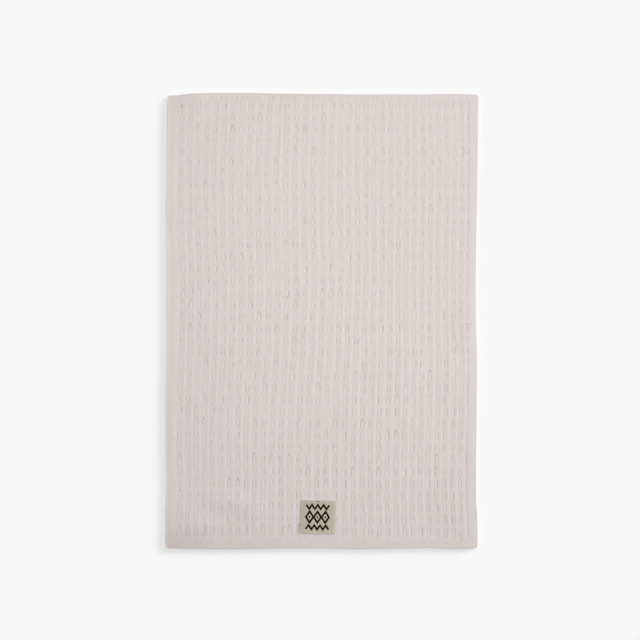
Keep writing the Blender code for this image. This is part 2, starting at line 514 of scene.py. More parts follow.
def grid_lines():
    """Every grid line of the towel's top, from -X to +X and from -Y to +Y."""
    half_width = TOWEL_WIDTH / 2
    half_length = TOWEL_LENGTH / 2
    left = [line - half_width for line in hem_lines(LEFT_HEM)]
    right = [half_width - line for line in reversed(hem_lines(RIGHT_HEM))]
    bottom = [line - half_length for line in hem_lines(BOTTOM_HEM)]
    top = [half_length - line for line in reversed(hem_lines(TOP_HEM))]
    columns = weave_lines(CELL_LINES_ACROSS, LAST_COLUMN, COLUMN_PLACES, left[-1], right[0])
    rows = weave_lines(CELL_LINES_UP, LAST_ROW, ROW_PLACES, bottom[-1], top[0])
    return np.array(left + columns + right), np.array(bottom + rows + top)


def uneven(spread, low, high):
    """A random factor for each pocket, around 1."""
    return rng.normal(1.0, spread, POCKETS).clip(low, high)


def trend(start, towards_label, to_right):
    """A value for each pocket that changes evenly over the towel."""
    rows, columns = np.mgrid[0 : LAST_ROW + 1, 0 : LAST_COLUMN + 1]
    return start + towards_label * rows / LAST_ROW + to_right * columns / LAST_COLUMN


def pocket_reaches():
    """How far up and down each slit goes: further to the right and near the label end."""
    share = trend(*REACH_TREND)
    up = (share + rng.normal(0.0, UP_SPREAD, POCKETS)).clip(0.0, MOST_UP)
    down = (share + rng.normal(0.0, DOWN_SPREAD, POCKETS)).clip(0.0, MOST_DOWN)
    first, last = SLIT_REACH
    return first + (last - first) * up, first + (last - first) * down


def hem_ribs(y):
    """1 where the end hems show fine ribs, 0 elsewhere."""
    shares = []
    for distance, last in ((TOWEL_LENGTH / 2 - y, RIBS_TO_TOP), (TOWEL_LENGTH / 2 + y, RIBS_TO_BOTTOM)):
        begun = ease((distance - RIBS_IN) / RIBS_BLUR + 0.5)
        shares.append(begun * ease((last - distance) / RIBS_BLUR + 0.5))
    return np.maximum(shares[0], BOTTOM_RIBS * shares[1])


def weave(x, y, hem):
    """The weave at grid points: moves across and along, a height, a tone that holds painted shade in
    the grooves and painted highlights, and calm places.
    """
    column = between(turned(COLUMN_PLACES), x)
    row = between(turned(ROW_PLACES), y)
    k = np.clip(np.round(column), 0, LAST_COLUMN).astype(int)
    m = np.clip(np.round(row), 0, LAST_ROW).astype(int)
    s = column - k
    t = m - row
    jitter = rng.normal(0.0, 1.0, (2, *POCKETS)).clip(-JITTER_MOST, JITTER_MOST)
    tilt = 1.0 + SIDE_SPREAD * np.sign(s) * (uneven(*SIDE_DRAW)[m, k] - 1.0)
    depth = trend(*DEPTH_TREND) * uneven(*DEPTH_SPREAD)
    strength = depth[m, k] * tilt.clip(*SIDE_LIMITS)
    reach_up, reach_down = pocket_reaches()
    top_share = rng.uniform(*TOP_SHARES, POCKETS).clip(0)[m, k]
    bottom_share = rng.uniform(*BOTTOM_SHARES, POCKETS).clip(0)[m, k]

    # The grid lines near a pocket bend into an oval.
    reach = np.abs(t) / GROOVE_UP
    oval = np.clip(1.0 - reach**OVAL_POWER, OVAL_NARROWEST, 1.0) ** (1.0 / OVAL_POWER)
    back = ease((np.abs(t) - GROOVE_UP) / (0.5 - GROOVE_UP))
    oval = np.where(reach > 1.0, oval + (1.0 - oval) * back, oval)
    near = 1.0 - ease((np.abs(s) - GROOVE_OUTER) / (0.5 - GROOVE_OUTER))
    wide = WIDER_LEFT * (1.0 - k / LAST_COLUMN) + WIDER_TOP * (1.0 - m / LAST_ROW)
    oval = oval * (1.0 + wide)
    inside = np.clip(1.0 - 4.0 * s**2, 0, 1) * np.clip(1.0 - 4.0 * t**2, 0, 1) * (1.0 - hem)
    shift_x, shift_y = jitter[0][m, k] * inside, jitter[1][m, k] * inside
    move_x = (s * (oval - 1.0) * near * (1.0 - hem) + JITTER_ACROSS * shift_x) * PITCH_ACROSS
    move_y = JITTER_UP * shift_y * PITCH_UP

    # Two of a pocket's rows of points lie where its slits end.
    slit_end = np.where(t > 0, reach_up[m, k], reach_down[m, k])
    last_row = np.isclose(np.abs(t), SLIT_UP, atol=ON_LINE)
    next_row = np.isclose(np.abs(t), GROOVE_UP, atol=ON_LINE)
    target = np.select([last_row, next_row], [slit_end, slit_end + SLIT_END], np.abs(t))
    in_pocket = (np.abs(s) < POCKET_HALF) * (1.0 - hem)
    move_y = move_y + np.sign(t) * (target - np.abs(t)) * in_pocket * PITCH_UP

    # The groove runs down both sides of the oval, and round its ends in some pockets.
    on_side = np.isclose(np.abs(s), GROOVE_ACROSS, atol=ON_LINE)
    end_share = np.where(t > 0, top_share, bottom_share)
    side = np.select([np.abs(t) < (SLIT_UP + GROOVE_UP) / 2, next_row], [1.0, end_share], 0.0)
    end = np.where(next_row & (np.abs(s) < GROOVE_OUTER - ON_LINE), end_share, 0.0)
    groove = np.maximum(side * on_side, end) * strength
    on_cord = ease((np.abs(s) - GROOVE_OUTER) / (0.5 - GROOVE_OUTER))
    on_band = ease((np.abs(t) - BAND_FROM) / BAND_RUN)
    crown = COLUMN_CROWN * on_cord * (1.0 - ease(reach - CROWN_REACH))
    height = crown - BAND_DROP * on_band - GROOVE_DEPTH * groove
    ribs = -HEM_RIB * on_side * hem
    # Painted shade darkens the grooves.
    tone = GROOVE_PAINTED_SHADE * groove + CORD_TONE * on_cord
    tone = tone + BETWEEN_TONE * (1.0 - on_cord) * on_band

    # Painted highlight: the floor's lower half is painted lighter beside one of the two sides, where it
    # would catch the light.
    glint = rng.uniform(*PAINTED_GLINT_TONES, POCKETS).clip(0)[m, k]
    glint_side = rng.choice((-1.0, 1.0), POCKETS, p=GLINT_CHANCES)[m, k]
    beside = np.isclose(s, glint_side * GROOVE_INNER, atol=ON_LINE)
    tone = tone + glint * (beside & (t < ON_LINE) & (t > -GLINT_DOWN))
    gap = ease((np.abs(t) - GAP_FROM) / GAP_RUN) * (1.0 - GAP_STREAKS * m / LAST_ROW)
    calm = np.maximum(hem, gap)
    return move_x, move_y, height * (1.0 - hem) + ribs, tone * (1.0 - hem), calm


def spread_table(table, x, y):
    """The value at x, y of a table laid over the towel, in millimetres."""
    values = np.array(table) * MM
    across, down = np.array(SWAY_X), np.array(SWAY_Y)
    i = np.clip(np.searchsorted(across, x) - 1, 0, len(across) - 2)
    j = np.clip(np.searchsorted(-down, -y) - 1, 0, len(down) - 2)
    share_x = ease((x - across[i]) / (across[i + 1] - across[i]))
    share_y = ease((down[j] - y) / (down[j] - down[j + 1]))
    upper = values[j, i] + (values[j, i + 1] - values[j, i]) * share_x
    lower = values[j + 1, i] + (values[j + 1, i + 1] - values[j + 1, i]) * share_x
    return upper + (lower - upper) * share_y


def sway(x, y):
    """How far the weave at x, y lies from its even place; nothing at the outline."""
    in_x = ease((TOWEL_WIDTH / 2 - np.abs(x)) / SWAY_FADE[0])
    in_y = ease((TOWEL_LENGTH / 2 - np.abs(y)) / SWAY_FADE[1])
    return spread_table(SWAY_ACROSS, x, y) * in_x, spread_table(SWAY_ALONG, x, y) * in_y


def painted_edge_tone(x, y):
    """The outermost strip's tone: painted light at the left, painted shade along the label end."""
    left = ease(1.0 - (x + TOWEL_WIDTH / 2) / LEFT_EDGE_REACH)
    bottom = ease(1.0 - (y + TOWEL_LENGTH / 2) / BOTTOM_EDGE_REACH)
    return LEFT_EDGE_PAINTED_LIGHT * left * (1.0 - bottom) + BOTTOM_EDGE_PAINTED_SHADE * bottom


def grid_border(columns, rows, start=0):
    """The points of a grid's border, anticlockwise from its lowest corner: numbers, x and y."""
    right, top = len(columns) - 1, len(rows) - 1
    border = [(i, 0) for i in range(right)] + [(right, j) for j in range(top)]
    border += [(i, top) for i in range(right, 0, -1)] + [(0, j) for j in range(top, 0, -1)]
    i, j = np.array(border).T
    return (start + j * len(columns) + i).tolist(), columns[i], rows[j]


def rows_of(x, y, z):
    """Three grids of values as rows of three."""
    return np.stack(np.broadcast_arrays(x, y, z), axis=-1).reshape(-1, 3)


def grid_faces(columns, rows, start, up):
    """A grid's quads, for points stored row by row, facing up or down."""
    i, j = np.meshgrid(np.arange(columns - 1), np.arange(rows - 1))
    a = start + j * columns + i
    corners = [a, a + 1, a + columns + 1, a + columns]
    quads = np.stack(corners if up else corners[::-1], axis=-1)
    return quads.reshape(-1, 4).tolist()


def strip_faces(outer, inner):
    """Quads between two loops of as many points, the outer one above or outside."""
    count = len(outer)
    return [
        [outer[n], inner[n], inner[(n + 1) % count], outer[(n + 1) % count]]
        for n in range(count)
    ]


def stitch_loops(outer, inner, outer_share, inner_share):
    """Triangles between two loops whose points lie at shares of the way round."""
    faces = []
    a = b = 0
    while a < len(outer) or b < len(inner):
        next_a = outer_share[a + 1] if a + 1 < len(outer) else 1.0
        next_b = inner_share[b + 1] if b + 1 < len(inner) else 1.0
        if b >= len(inner) or (a < len(outer) and next_a <= next_b):
            faces.append([outer[a], inner[b % len(inner)], outer[(a + 1) % len(outer)]])
            a += 1
        else:
            faces.append([outer[a % len(outer)], inner[b], inner[(b + 1) % len(inner)]])
            b += 1
    return faces


def make_object(name, points, faces, material, smooth=True):
    """A mesh object of one material, in the scene."""
    mesh = bpy.data.meshes.new(name)
    mesh.from_pydata(np.asarray(points).tolist(), [], faces)
    if smooth:
        mesh.shade_smooth()
    mesh.materials.append(material)
    mesh.validate()
    piece = bpy.data.objects.new(name, mesh)
    bpy.context.scene.collection.objects.link(piece)
    return piece


def keep_values(piece, name, values):
    """Store a value for each point, for the materials to read."""
    layer = piece.data.attributes.new(name, "FLOAT", "POINT")
    layer.data.foreach_set("value", np.asarray(values, np.float32).ravel())


def keep_vectors(piece, name, vectors):
    """Store a row of three for each point."""
    layer = piece.data.attributes.new(name, "FLOAT_VECTOR", "POINT")
    layer.data.foreach_set("vector", np.asarray(vectors, np.float32).ravel())


def around(x, y):
    """How far round a rectangle's border each point is, from its lowest corner, 0 to 1."""
    half_x = np.max(np.abs(x))
    half_y = np.max(np.abs(y))
    bottom = np.isclose(y, -half_y)
    right = np.isclose(x, half_x) & ~bottom
    top = np.isclose(y, half_y) & ~right
    share_x = (x / half_x + 1) / 8
    share_y = (y / half_y + 1) / 8
    shares = [share_x, 0.25 + share_y, 0.75 - share_x]
    return np.select([bottom, right, top], shares, 1 - share_y)


def under_lines(half, low_hem, high_hem, last, places):
    """Lines of the underside's grid: the hems' folded edges, and the pockets."""
    low, high = low_hem - half, half - high_hem
    inner = weave_lines((-0.5, 0.0), last, places, low + UNDER_EDGE, high - UNDER_EDGE)
    ends = [UNDER_INSET - half, low, low + UNDER_EDGE]
    return np.array([*ends, *inner, high - UNDER_EDGE, high, half - UNDER_INSET])


def under_pockets(columns, rows):
    """For the underside's grid, 1 within the hems and 1 in each pocket's middle."""
    within, middle = [], []
    for lines, places in ((rows, ROW_PLACES), (columns, COLUMN_PLACES)):
        inner = np.ones(len(lines))
        inner[[0, 1, -2, -1]] = 0.0
        number = between(turned(places), lines)
        within.append(inner)
        middle.append(inner * np.isclose(number, np.round(number), atol=2 * ON_LINE))
    return np.outer(*within), np.outer(*middle)


def make_cloth(material):
    """The towel: its fine top, its rim and its coarser underside, as one closed mesh."""
    columns, rows = grid_lines()
    x, y = np.meshgrid(columns, rows)
    thickness, hem = towel_height(x, y)
    move_x, move_y, relief, tone, calm = weave(x, y, hem)
    lean, dip = sway(x, y)
    place_x, place_y = towel_place(x + move_x + lean, y + move_y + dip)
    swell = bumps(SWELLS, place_x, place_y) * (1.0 - hem)
    height = bumps(RIPPLES, place_x, place_y) + thickness + relief + swell
    # The tone gains painted light and shade: the outer strips and the broad patches.
    tone = tone + painted_edge_tone(x, y) + bumps(PAINTED_SHADE_AND_LIGHT, place_x, place_y)

    # Each part's points, places in the weave, tones and ribs.
    parts = [(rows_of(place_x, place_y, height), rows_of(x, y, calm), tone, hem_ribs(y))]
    faces = grid_faces(len(columns), len(rows), 0, up=True)
    total = x.size

    # The hem's edge turns under, in loops that run round below the outline.
    loop, edge_x, edge_y = grid_border(columns, rows)
    edge_lean = sway(edge_x, edge_y)[0]
    for distance in RIM_LINES:
        inner_x = edge_x * (1.0 - 2 * distance / TOWEL_WIDTH)
        inner_y = edge_y * (1.0 - 2 * distance / TOWEL_LENGTH)
        under_x, under_y = towel_place(inner_x + edge_lean, inner_y)
        under_z = bumps(RIPPLES, under_x, under_y) + rim_fall(distance)
        plain = np.zeros(len(loop))
        parts.append((rows_of(under_x, under_y, under_z), rows_of(inner_x, inner_y, 1.0), plain, plain))
        new_loop = list(range(total, total + len(loop)))
        faces += strip_faces(loop, new_loop)
        loop = new_loop
        total += len(loop)

    # The underside is a coarser grid of pockets, which the last loop is joined to.
    coarse_x = under_lines(TOWEL_WIDTH / 2, LEFT_HEM, RIGHT_HEM, LAST_COLUMN, COLUMN_PLACES)
    coarse_y = under_lines(TOWEL_LENGTH / 2, BOTTOM_HEM, TOP_HEM, LAST_ROW, ROW_PLACES)
    grid_x, grid_y = np.meshgrid(coarse_x, coarse_y)
    lean, dip = sway(grid_x, grid_y)
    under_x, under_y = towel_place(grid_x + lean, grid_y + dip)
    inside, middle = under_pockets(coarse_x, coarse_y)
    under_z = bumps(RIPPLES, under_x, under_y) + UNDER_STEP * inside + UNDER_DEPTH * middle
    under = rows_of(under_x, under_y, under_z)
    # The underside's pocket middles get painted shade in their tone.
    parts.append((under, rows_of(grid_x, grid_y, UNDER_CALM), UNDER_POCKET_PAINTED_SHADE * middle, 0 * middle))
    faces += grid_faces(len(coarse_x), len(coarse_y), total, up=False)
    coarse_loop, coarse_edge_x, coarse_edge_y = grid_border(coarse_x, coarse_y, total)
    coarse_share = around(coarse_edge_x, coarse_edge_y)
    faces += stitch_loops(loop, coarse_loop, around(edge_x, edge_y), coarse_share)

    points, weave_place, tones, ribs = zip(*parts)
    cloth = make_object("towel_cloth", np.concatenate(points), faces, material)
    keep_vectors(cloth, "weave_place", np.concatenate(weave_place))
    keep_values(cloth, "tone", np.concatenate([part.ravel() for part in tones]))
    keep_values(cloth, "ribs", np.concatenate([part.ravel() for part in ribs]))
    cloth.modifiers.new("normals", "WEIGHTED_NORMAL").keep_sharp = True
    return cloth


def label_top(a, b):
    """The heights of the label's top and underside at a, b from its middle."""
    from_edge = np.minimum(LABEL_SIZE[0] / 2 - np.abs(a), LABEL_SIZE[1] / 2 - np.abs(b))
    turned_edge = 1.0 - ease((from_edge - LABEL_TURNED_EDGE) / LABEL_TURNED_STEP + 0.5)
    height = LABEL_THICKNESS + (LABEL_EDGE_THICKNESS - LABEL_THICKNESS) * turned_edge
    waves = [
        np.sin(place / size + start)
        for place, size, start in zip((a, b), LABEL_WAVE_SIZES, LABEL_WAVE_STARTS)
    ]
    pucker = ease(1.0 - np.abs(from_edge - LABEL_SEAM) / PUCKER_HALF_WIDTH)
    height = height + LABEL_WAVE * waves[0] * waves[1] - LABEL_PUCKER * pucker
    bend = np.sqrt(1.0 - (1.0 - np.clip(from_edge / LABEL_RIM, 0.0, 1.0)) ** 2)
    top = height * (LABEL_RIM_TOP + (1.0 - LABEL_RIM_TOP) * bend)
    return top, LABEL_RIM_UNDER * LABEL_EDGE_THICKNESS * (1.0 - bend)


def label_place(a, b):
    """A point of the label, from its middle, as a place on the towel."""
    a = a - LABEL_TAPER * (a / LABEL_SIZE[0] + 0.5) * (0.5 - b / LABEL_SIZE[1])
    cos, sin = math.cos(LABEL_TURN), math.sin(LABEL_TURN)
    return LABEL_CENTRE[0] + a * cos - b * sin, LABEL_CENTRE[1] + a * sin + b * cos


def label_points(a, b, over=0.0):
    """Points on the label's top at a, b from its middle, or some way over it."""
    x, y = label_place(a, b)
    return np.stack([x, y, LABEL_BASE + bumps(RIPPLES, x, y) + label_top(a, b)[0] + over], -1)


def label_looks(a, b):
    """The label's tone, with painted light along its left and bottom edges, and how pale its turned
    edge is, at a, b from its middle.
    """
    half_a, half_b = LABEL_SIZE[0] / 2, LABEL_SIZE[1] / 2
    tone = LABEL_FADE * (a / LABEL_SIZE[0] + 0.5)
    # Painted light along the left and bottom edges, against the shade of their rims.
    tone = tone + LABEL_LEFT_PAINTED_LIGHT * ease(1.0 - (half_a + a) / LABEL_TONE_REACH)
    tone = tone + LABEL_LOW_PAINTED_LIGHT * ease(1.0 - (half_b + b) / LABEL_TONE_REACH)
    pale = np.zeros(np.shape(a))
    for distance, (reach, share) in (
        (half_a - a, LABEL_PALE_RIGHT),
        (half_b + b, LABEL_PALE_BOTTOM),
        (half_b - b, LABEL_PALE_TOP),
    ):
        pale = np.maximum(pale, share * ease(LABEL_PALE_RISE * (1.0 - distance / reach)))
    return tone, pale


def label_lines(size):
    """Grid lines across the label, from its middle."""
    near = np.array(LABEL_LINES) - size / MM / 2
    inner = np.linspace(near[-1], -near[-1], LABEL_INNER_LINES + 2)[1:-1]
    return np.concatenate([near, inner, -near[::-1]]) * MM


def make_label(material):
    """The label: two like grids of points, the top and the underside, joined at the rim."""
    columns, rows = label_lines(LABEL_SIZE[0]), label_lines(LABEL_SIZE[1])
    a, b = np.meshgrid(columns, rows)
    top = label_points(a, b)
    under = top.copy()
    x, y = label_place(a, b)
    under[..., 2] = LABEL_BASE + bumps(RIPPLES, x, y) + label_top(a, b)[1]
    border = grid_border(columns, rows)[0]
    faces = grid_faces(len(columns), len(rows), 0, up=True)
    faces += grid_faces(len(columns), len(rows), a.size, up=False)
    faces += strip_faces(border, [a.size + n for n in border])
    label = make_object("label_canvas", np.stack([top, under]).reshape(-1, 3), faces, material)
    label.modifiers.new("normals", "WEIGHTED_NORMAL").keep_sharp = True
    tone, pale = label_looks(a, b)
    keep_vectors(label, "weave_place", [rows_of(a, b, 0.0)] * 2)
    keep_values(label, "tone", [tone] * 2)
    keep_values(label, "pale", [pale] * 2)
    return label


def of_length_one(ways):
    """Directions of any length, as unit ones."""
    return ways / np.linalg.norm(ways, axis=1)[:, None]


def stroke(path, width, closed, start):
    """A raised thread band along a path on the label: points and faces."""
    path = np.array([*path, path[0]] if closed else path, float)
    steps = []
    for first, last in zip(path[:-1], path[1:]):
        parts = max(2, int(np.hypot(*(last - first)) / MOTIF_STEP))
        steps.append(first + (last - first) * np.arange(parts)[:, None] / parts)
    places = np.vstack(steps if closed else [*steps, path[-1:]])
    before = np.roll(places, 1, axis=0)
    after = np.roll(places, -1, axis=0)
    if not closed:
        before[0] = 2 * places[0] - places[1]
        after[-1] = 2 * places[-1] - places[-2]

    # The band is wider at a bend, so that both of its stretches keep their width.
    arrive = of_length_one(places - before)
    way = of_length_one(arrive + of_length_one(after - places))
    side = np.stack([-way[:, 1], way[:, 0]], axis=1)
    bend = (way * arrive).sum(1)
    side /= np.clip(bend, MOTIF_SHARPEST, 1)[:, None]
    points = []
    for share, rise in MOTIF_SECTION:
        a, b = ((places + side * width * share) * MM).T
        points.append(label_points(a, b, rise * MOTIF_RISE * MM))
    points = np.stack(points, axis=1)
    count, across = points.shape[:2]
    faces = []
    for n in range(count if closed else count - 1):
        here, there = start + across * n, start + across * ((n + 1) % count)
        for i in range(across):
            j = (i + 1) % across
            faces.append([here + j, here + i, there + i, there + j])
    if not closed:
        first_end = range(start, start + across)
        last = start + across * (count - 1)
        faces += [list(first_end), list(range(last, last + across))[::-1]]
    return points.reshape(-1, 3), faces


def make_motif(material):
    """Outlined diamonds with small hearts between two zigzags, as one piece."""
    paths = []
    for across in DIAMOND_PLACES:
        for wide, tall, width in DIAMONDS:
            corners = [(across + wide, 0), (across, tall), (across - wide, 0), (across, -tall)]
            paths.append((corners, width, True))
    for up in ZIGZAG_PLACES:
        places = np.linspace(-ZIGZAG_HALF_WIDTH, ZIGZAG_HALF_WIDTH, ZIGZAG_STEPS + 1)
        rise = math.copysign(ZIGZAG_HALF_HEIGHT, up)
        heights = [up + rise * (-1) ** n for n in range(ZIGZAG_STEPS + 1)]
        paths.append((list(zip(places, heights)), MOTIF_WIDTH, False))
    points, faces, start = [], [], 0
    for path, width, closed in paths:
        moved = [(x + MOTIF_CENTRE[0], y + MOTIF_CENTRE[1]) for x, y in path]
        new_points, new_faces = stroke(moved, width, closed, start)
        points.append(new_points)
        faces += new_faces
        start += len(new_points)
    return make_object("label_motif", np.concatenate(points), faces, material)


def stitches(name, ends, radius, material):
    """Short threads between pairs of points, each one a low arch."""
    points, faces = [], []
    up = np.array([0.0, 0.0, 1.0])
    turns = np.arange(THREAD_SIDES) * math.tau / THREAD_SIDES
    rings = len(THREAD_RINGS)
    for first, last in ends:
        way = last - first
        side = np.array([-way[1], way[0], 0.0]) / math.hypot(way[0], way[1])
        start = len(points)
        for share, rise, size in THREAD_RINGS:
            middle = first + way * share + up * rise * radius
            for turn in turns:
                out = side * math.cos(turn) + up * math.sin(turn)
                points.append(middle + out * radius * size)
        for ring in range(rings - 1):
            low = start + THREAD_SIDES * ring
            for n in range(THREAD_SIDES):
                a, b = low + n, low + (n + 1) % THREAD_SIDES
                faces.append([a, b, b + THREAD_SIDES, a + THREAD_SIDES])
        last_ring = start + THREAD_SIDES * (rings - 1)
        faces.append(list(range(start, start + THREAD_SIDES))[::-1])
        faces.append(list(range(last_ring, last_ring + THREAD_SIDES)))
    return make_object(name, points, faces, material)


def hem_stitches():
    """The ends of the stitches along all four hems."""
    ends = []
    half_x, half_y = TOWEL_WIDTH / 2, TOWEL_LENGTH / 2
    far_x, far_y = half_x - STITCH_INSET, half_y - STITCH_INSET
    left, right = -half_x + LEFT_HEM - SEAM_IN, half_x - RIGHT_HEM + SEAM_IN
    low, high = -half_y + BOTTOM_HEM - SEAM_IN, half_y - TOP_HEM + SEAM_IN
    runs = [((x, -far_y), (x, far_y)) for x in (left, right)]
    runs += [((-far_x, y), (far_x, y)) for y in (low, high)]
    for first, last in np.array(runs):
        count = int(np.hypot(*(last - first)) / STITCH_PITCH)
        step = (last - first) / count
        for n in range(count):
            start = first + step * n
            x, y = np.array([start, start + step * STITCH_LENGTH / STITCH_PITCH]).T
            height = towel_height(x, y)[0]
            x, y = towel_place(x + sway(x, y)[0], y)
            ends.append(np.stack([x, y, height + bumps(RIPPLES, x, y)], axis=-1))
    return ends


def label_stitches():
    """The ends of the stitches along the label's four edges."""
    half_a, half_b = LABEL_SIZE[0] / 2 - LABEL_SEAM, LABEL_SIZE[1] / 2 - LABEL_SEAM
    corners = np.array([(-half_a, -half_b), (half_a, -half_b), (half_a, half_b), (-half_a, half_b)])
    ends = []
    for first, last in zip(corners, np.roll(corners, -1, axis=0)):
        count = round(np.hypot(*(last - first)) / STITCH_PITCH)
        for n in range(count):
            pair = np.array([first + (last - first) * (n + part) / count for part in LABEL_STITCH])
            ends.append(label_points(*pair.T))
    return ends


# ---------------------------------------------------------------- materials


def set_inputs(made, inputs):
    """Give a node its inputs, by name or number: a value, or another node's output to link."""
    for name, value in inputs.items():
        if isinstance(value, bpy.types.NodeSocket):
            made.id_data.links.new(value, made.inputs[name])
        else:
            made.inputs[name].default_value = value


def node(tree, kind, inputs, **settings):
    """A new node with its settings and inputs."""
    made = tree.nodes.new(kind)
    for name, value in settings.items():
        setattr(made, name, value)
    set_inputs(made, inputs)
    return made


def stored(tree, name):
    """A node that reads what is kept at the mesh's points."""
    return node(tree, "ShaderNodeAttribute", {}, attribute_name=name)


def combine(tree, operation, first, second):
    return node(tree, "ShaderNodeMath", {0: first, 1: second}, operation=operation).outputs[0]


def vector_math(tree, operation, inputs):
    return node(tree, "ShaderNodeVectorMath", inputs, operation=operation)


def plain_material(name, color, roughness, others):
    """A material of one colour, with its shader's other inputs; and that shader."""
    material = bpy.data.materials.new(name)
    material.use_nodes = True
    shader = material.node_tree.nodes["Principled BSDF"]
    set_inputs(shader, {"Base Color": (*color, 1.0), "Roughness": roughness, **others})
    return material, shader


CLOTH_COLOR = (0.664, 0.608, 0.589)
# What a tone of 1 adds to that colour: less red than it has, so dark places look neutral.
TONE_COLOR = (0.592, 0.616, 0.598)
STREAKS = (
    # width, length, how much lighter and darker, place
    (1.1 * MM, 15.0 * MM, 0.080, 0.0),
    (2.1 * MM, 90.0 * MM, 0.040, 7.3),
)
PAINTED_CREASE_SHADES = (
    # x, y, half length, half width, tone: painted shade for a pulled thread's pucker and three small
    # creases
    (0.2088, -0.0046, 10.5 * MM, 1.5 * MM, -0.10),
    (0.2133, -0.0046, 2.4 * MM, 1.9 * MM, -0.10),
    (-0.2007, 0.3081, 1.2 * MM, 3.4 * MM, -0.40),
    (0.1961, -0.3054, 1.4 * MM, 4.2 * MM, -0.16),
    (0.1999, -0.3122, 2.4 * MM, 2.6 * MM, -0.20),
)
MARK_CORE = 0.2
CALM_SHARE = 0.65
RIB_NOISE = (0.85 * MM, 40.0 * MM, 0.38, 3.1)
NOISE_DETAIL = 1.5
NOISE_LIMITS = (0.2, 0.8)
HEM_THREAD_COLOR = (0.640, 0.586, 0.568)
YARN_PITCH = 0.9 * MM
YARN_HEIGHT = 0.12 * MM


def streak_noise(tree, place, width, length, amount, start):
    """Fine uneven yarn lines along the cloth, from -amount to amount."""
    scale = (1.0 / width, 1.0 / length, 0.0)
    stretch = vector_math(tree, "MULTIPLY_ADD", {0: place, 1: scale, 2: (start, start, start)})
    inputs = {"Vector": stretch.outputs[0], "Scale": 1.0, "Detail": NOISE_DETAIL}
    noise = node(tree, "ShaderNodeTexNoise", inputs)
    low, high = NOISE_LIMITS
    limits = {"From Min": low, "From Max": high, "To Min": -amount, "To Max": amount}
    level = node(tree, "ShaderNodeMapRange", {"Value": noise.outputs["Fac"], **limits})
    return level.outputs["Result"]


def yarn_bump(tree, place, pitches, height):
    """A plain weave's yarns, crossing over and under, as a bump."""
    split = node(tree, "ShaderNodeSeparateXYZ", {0: place})
    waves = []
    for axis, pitch in enumerate(pitches):
        turn = combine(tree, "MULTIPLY", split.outputs[axis], math.pi / pitch)
        waves.append(combine(tree, "SINE", turn, 0.0))
    crossing = combine(tree, "MULTIPLY", *waves)
    bump = node(tree, "ShaderNodeBump", {"Height": crossing, "Strength": 0.5, "Distance": height})
    return bump.outputs["Normal"]


def mark(tree, place, x, y, half_length, half_width, tone):
    """A small soft place on the cloth, painted darker or lighter, such as a crease's painted shade."""
    scale = (1.0 / half_length, 1.0 / half_width, 0.0)
    centre = (-x / half_length, -y / half_width, 0.0)
    inside = vector_math(tree, "MULTIPLY_ADD", {0: place, 1: scale, 2: centre})
    far = vector_math(tree, "LENGTH", {0: inside.outputs[0]}).outputs["Value"]
    inputs = {"Value": far, "From Min": MARK_CORE, "To Min": tone, "To Max": 0.0}
    fade = node(tree, "ShaderNodeMapRange", inputs, interpolation_type="SMOOTHSTEP")
    return fade.outputs["Result"]


def cloth_material():
    """Pale cotton with yarn streaks, quieter where the weave is calm; the stored tones and the small
    creases add painted shade and light.
    """
    others = {"Specular IOR Level": 0.25, "Sheen Weight": 0.08, "Sheen Roughness": 0.6}
    material, shader = plain_material("waffle_cotton", CLOTH_COLOR, 0.95, others)
    tree = material.node_tree
    place = stored(tree, "weave_place").outputs["Vector"]
    calm = node(tree, "ShaderNodeSeparateXYZ", {0: place}).outputs["Z"]
    share = combine(tree, "ADD", combine(tree, "MULTIPLY", calm, -CALM_SHARE), 1.0)
    streaks = [streak_noise(tree, place, *settings) for settings in STREAKS]
    total = combine(tree, "MULTIPLY", combine(tree, "ADD", *streaks), share)
    ribs = streak_noise(tree, place, *RIB_NOISE)
    ribs = combine(tree, "MULTIPLY", ribs, stored(tree, "ribs").outputs["Fac"])
    spot = node(tree, "ShaderNodeTexCoord", {}).outputs["Object"]
    crease_shades = [mark(tree, spot, *settings) for settings in PAINTED_CREASE_SHADES]
    for extra in (ribs, stored(tree, "tone").outputs["Fac"], *crease_shades):
        total = combine(tree, "ADD", total, extra)
    tint = vector_math(tree, "MULTIPLY_ADD", {0: total, 1: TONE_COLOR, 2: CLOTH_COLOR})
    normal = yarn_bump(tree, place, (YARN_PITCH, YARN_PITCH), YARN_HEIGHT)
    set_inputs(shader, {"Base Color": tint.outputs[0], "Normal": normal})
    return material


LABEL_COLOR = (0.455, 0.410, 0.318)
LABEL_PALE_COLOR = (0.505, 0.460, 0.400)
LABEL_THREAD_COLOR = (0.540, 0.480, 0.400)
MOTIF_COLOR = (0.010, 0.008, 0.002)
SLUBS = (
    # width, length, how much lighter and darker, place
    (0.5 * MM, 14.0 * MM, 0.060, 0.0),
    (14.0 * MM, 0.5 * MM, 0.060, 5.1),
)
CANVAS_PITCH = (0.62 * MM, 0.70 * MM)
CANVAS_HEIGHT = 0.10 * MM
PLY_PITCH = 0.45 * MM
PLY_SCALE = 0.31
PLY_HEIGHT = 0.05 * MM
PLY_TONES = (0.82, 1.08)


